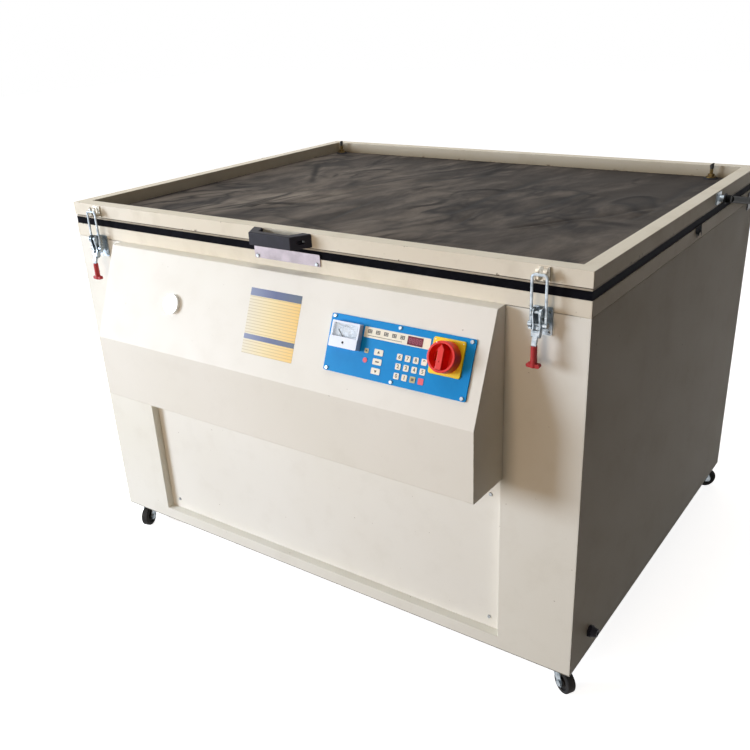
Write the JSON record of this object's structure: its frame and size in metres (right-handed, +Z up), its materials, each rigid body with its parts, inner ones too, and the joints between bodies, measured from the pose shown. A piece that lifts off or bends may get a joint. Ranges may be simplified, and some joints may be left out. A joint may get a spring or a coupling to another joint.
{
  "type": "screen printing exposure unit",
  "caption": "Floor-standing vacuum exposure cabinet on casters: glass bed, hinged rubber-blanket lid with gas struts and toggle latches, and a sloping front control console.",
  "frame": {"origin": "on the floor under the middle of the object's outline", "axes": "+X to the right along the front, +Y from the front to the back, +Z up"},
  "size_m": [1.3306, 1.12, 0.8783],
  "materials": {
    "cream_paint": "cream powder coat, satin",
    "rail_paint": "cream powder coat on welded tube, satin",
    "bed_glass": "clear float glass",
    "window_glass": "clear acrylic",
    "seal_rubber": "black moulded seal",
    "blanket_rubber": "dusty dark grey sheet",
    "clamp_aluminium": "extruded strip",
    "panel_overlay": "blue membrane overlay",
    "black_plastic": "moulded black nylon",
    "module_plastic": "black enclosure",
    "meter_plastic": "white moulded case",
    "needle_paint": "black painted aluminium",
    "switch_yellow": "yellow moulded plate",
    "switch_red": "red moulded knob",
    "gauge_steel": "pressed steel case",
    "zinc": "zinc plated",
    "grip_vinyl": "red dipped vinyl",
    "stop_aluminium": "mill finish plate",
    "screw_zinc": "zinc plated",
    "brass_fitting": "turned brass",
    "reflector_aluminium": "bright folded sheet",
    "lamp_quartz": "quartz tube with ceramic ends",
    "ballast_steel": "varnished laminations",
    "pump_paint": "blue grey enamel",
    "fan_plastic": "black thermoplastic",
    "cylinder_paint": "black gloss cylinder",
    "rod_chrome": "hard chromed rod",
    "wheel_rubber": "black tread and hub",
    "gland_nylon": "black nylon"
  },
  "bodies": {
    "cabinet": {"base_frame": "rail_paint", "base_pan": "cream_paint", "top_rail_frame": "rail_paint", "side_panels": "cream_paint", "rear_panel": "cream_paint", "front_panel": "cream_paint", "access_panel": "cream_paint", "panel_screws": "screw_zinc", "glass_plate": "bed_glass", "rim_seal": "seal_rubber", "console_housing": "cream_paint", "control_panel": "panel_overlay", "timer_module": "module_plastic", "meter_case": "meter_plastic", "instrument_windows": "window_glass", "switch_plate": "switch_yellow", "switch_body": "module_plastic", "gauge_case": "gauge_steel", "front_stop_plate": "stop_aluminium", "latch_bases": "zinc", "hinge_leaves_fixed": "zinc", "strut_brackets": "zinc", "cable_gland": "gland_nylon", "uv_lamp": "lamp_quartz", "reflector": "reflector_aluminium", "ballast": "ballast_steel", "vacuum_pump": "pump_paint", "fan_frame": "fan_plastic", "caster_plates": "zinc"},
    "lid": {"lid_frame": "rail_paint", "rubber_blanket": "blanket_rubber", "blanket_clamp_strip": "clamp_aluminium", "lid_handle": "black_plastic", "vacuum_nipples": "brass_fitting", "latch_keepers": "zinc", "hinge_leaves_moving": "zinc", "lid_studs": "zinc", "lid_stud_washers": "seal_rubber"},
    "latch_lever_left": {"latch_lever_left": "zinc", "latch_grip_left": "grip_vinyl"},
    "latch_bail_left": {"latch_bail_left": "zinc"},
    "latch_lever_right": {"latch_lever_right": "zinc", "latch_grip_right": "grip_vinyl"},
    "latch_bail_right": {"latch_bail_right": "zinc"},
    "strut_rod_left": {"strut_rod_left": "rod_chrome"},
    "strut_tube_left": {"strut_tube_left": "cylinder_paint"},
    "strut_rod_right": {"strut_rod_right": "rod_chrome"},
    "strut_tube_right": {"strut_tube_right": "cylinder_paint"},
    "switch_knob": {"switch_knob": "switch_red"},
    "meter_needle": {"meter_needle": "needle_paint"},
    "gauge_needle": {"gauge_needle": "needle_paint"},
    "fan_rotor": {"fan_rotor": "fan_plastic"},
    "caster_fork_fl": {"caster_fork_fl": "zinc"},
    "caster_wheel_fl": {"caster_wheel_fl": "wheel_rubber"},
    "caster_fork_fr": {"caster_fork_fr": "zinc"},
    "caster_wheel_fr": {"caster_wheel_fr": "wheel_rubber"},
    "caster_fork_rl": {"caster_fork_rl": "zinc"},
    "caster_wheel_rl": {"caster_wheel_rl": "wheel_rubber"},
    "caster_fork_rr": {"caster_fork_rr": "zinc"},
    "caster_wheel_rr": {"caster_wheel_rr": "wheel_rubber"}
  },
  "joints": [
    {"name": "lid_hinge", "type": "hinge", "parent": "cabinet", "child": "lid", "pos_m": [0, 0.554, 0.83115], "axis": [-1, 0, 0], "range_deg": [0, 65]},
    {"name": "latch_left_lever", "type": "hinge", "parent": "cabinet", "child": "latch_lever_left", "pos_m": [-0.552, -0.476, 0.797], "axis": [-1, 0, 0], "range_deg": [0, 130]},
    {"name": "latch_left_bail", "type": "hinge", "parent": "latch_lever_left", "child": "latch_bail_left", "pos_m": [-0.552, -0.472, 0.775], "axis": [-1, 0, 0], "range_deg": [-130.5, 0.5]},
    {"name": "latch_right_lever", "type": "hinge", "parent": "cabinet", "child": "latch_lever_right", "pos_m": [0.552, -0.476, 0.797], "axis": [-1, 0, 0], "range_deg": [0, 130]},
    {"name": "latch_right_bail", "type": "hinge", "parent": "latch_lever_right", "child": "latch_bail_right", "pos_m": [0.552, -0.472, 0.775], "axis": [-1, 0, 0], "range_deg": [-130.5, 0.5]},
    {"name": "strut_left_swing", "type": "hinge", "parent": "cabinet", "child": "strut_rod_left", "pos_m": [-0.6575, 0.497, 0.796], "axis": [-1, 0, 0], "range_deg": [-0.5, 68.28]},
    {"name": "strut_left_extend", "type": "slide", "parent": "strut_rod_left", "child": "strut_tube_left", "axis": [0, -0.9786, 0.2058], "range_m": [-0.0005, 0.07076]},
    {"name": "strut_right_swing", "type": "hinge", "parent": "cabinet", "child": "strut_rod_right", "pos_m": [0.6575, 0.497, 0.796], "axis": [-1, 0, 0], "range_deg": [-0.5, 68.28]},
    {"name": "strut_right_extend", "type": "slide", "parent": "strut_rod_right", "child": "strut_tube_right", "axis": [0, -0.9786, 0.2058], "range_m": [-0.0005, 0.07076]},
    {"name": "switch_turn", "type": "hinge", "parent": "cabinet", "child": "switch_knob", "pos_m": [0.409, -0.52568, 0.70915], "axis": [0, 0.9234, -0.3838], "range_deg": [0, 90]},
    {"name": "meter_needle_swing", "type": "hinge", "parent": "cabinet", "child": "meter_needle", "pos_m": [0.197, -0.52725, 0.70276], "axis": [0, 0.9234, -0.3838], "range_deg": [0, 90], "stiffness_Nm_per_rad": 0.0001},
    {"name": "gauge_needle_swing", "type": "hinge", "parent": "cabinet", "child": "gauge_needle", "pos_m": [-0.266, -0.5234, 0.699], "axis": [0, 0.9234, -0.3838], "range_deg": [0, 270], "stiffness_Nm_per_rad": 0.0001},
    {"name": "fan_spin", "type": "hinge", "parent": "cabinet", "child": "fan_rotor", "pos_m": [0, 0.5255, 0.364], "axis": [0, 1, 0], "continuous": true},
    {"name": "caster_fl_swivel", "type": "hinge", "parent": "cabinet", "child": "caster_fork_fl", "pos_m": [-0.597, -0.415, 0.055], "axis": [0, 0, 1], "continuous": true},
    {"name": "caster_fl_roll", "type": "hinge", "parent": "caster_fork_fl", "child": "caster_wheel_fl", "pos_m": [-0.58948, -0.43567, 0.025], "axis": [0.9397, 0.342, 0], "continuous": true},
    {"name": "caster_fr_swivel", "type": "hinge", "parent": "cabinet", "child": "caster_fork_fr", "pos_m": [0.597, -0.415, 0.055], "axis": [0, 0, 1], "continuous": true},
    {"name": "caster_fr_roll", "type": "hinge", "parent": "caster_fork_fr", "child": "caster_wheel_fr", "pos_m": [0.61605, -0.426, 0.025], "axis": [0.5, 0.866, 0], "continuous": true},
    {"name": "caster_rl_swivel", "type": "hinge", "parent": "cabinet", "child": "caster_fork_rl", "pos_m": [-0.597, 0.509, 0.055], "axis": [0, 0, 1], "continuous": true},
    {"name": "caster_rl_roll", "type": "hinge", "parent": "caster_fork_rl", "child": "caster_wheel_rl", "pos_m": [-0.61879, 0.51206, 0.025], "axis": [-0.1392, -0.9903, 0], "continuous": true},
    {"name": "caster_rr_swivel", "type": "hinge", "parent": "cabinet", "child": "caster_fork_rr", "pos_m": [0.597, 0.509, 0.055], "axis": [0, 0, 1], "continuous": true},
    {"name": "caster_rr_roll", "type": "hinge", "parent": "caster_fork_rr", "child": "caster_wheel_rr", "pos_m": [0.61385, 0.52314, 0.025], "axis": [-0.6428, 0.766, 0], "continuous": true}
  ],
  "couplings": [
    {"joint": "latch_left_bail", "follows": "latch_left_lever", "ratio": -1},
    {"joint": "latch_right_bail", "follows": "latch_right_lever", "ratio": -1},
    {"joint": "strut_left_swing", "follows": "lid_hinge", "ratio": 1.0427},
    {"joint": "strut_left_extend", "follows": "lid_hinge", "m_per_rad": 0.061929},
    {"joint": "strut_right_swing", "follows": "lid_hinge", "ratio": 1.0427},
    {"joint": "strut_right_extend", "follows": "lid_hinge", "m_per_rad": 0.061929}
  ]
}
